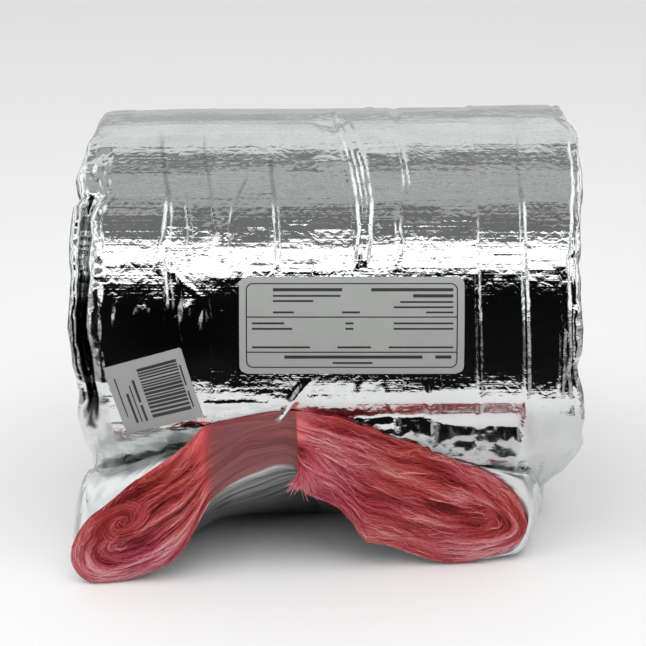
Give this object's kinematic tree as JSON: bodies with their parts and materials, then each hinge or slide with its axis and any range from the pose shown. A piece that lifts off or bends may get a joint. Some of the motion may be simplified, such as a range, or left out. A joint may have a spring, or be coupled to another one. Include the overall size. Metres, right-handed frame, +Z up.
{
  "type": "rolled foil-jacketed fibreglass duct insulation sleeve",
  "caption": "Flattened fibreglass insulation sleeve in a crinkled metallised film jacket, wound into a roll, its cut end showing pink wool and held to the roll by clear tape.",
  "frame": {"origin": "on the floor under the middle of the part's box", "axes": "+X along the roll's axis, to the right as seen from the cut end; +Y from the cut end towards the back of the roll; +Z up"},
  "size_m": [0.325, 0.2948, 0.2722],
  "materials": {
    "wound_sleeve": "glass wool wound up in bright crinkled metallised film",
    "foil": "bright crinkled metallised film",
    "wool": "fluffy glass wool",
    "tape": "clear adhesive tape",
    "label": "printed paper label"
  },
  "bodies": {
    "root": {"wound_roll": "wound_sleeve", "jacket_end": "foil", "wool_blanket": "wool", "tape_strip": "tape", "rating_label": "label", "code_label": "label"}
  },
  "joints": []
}
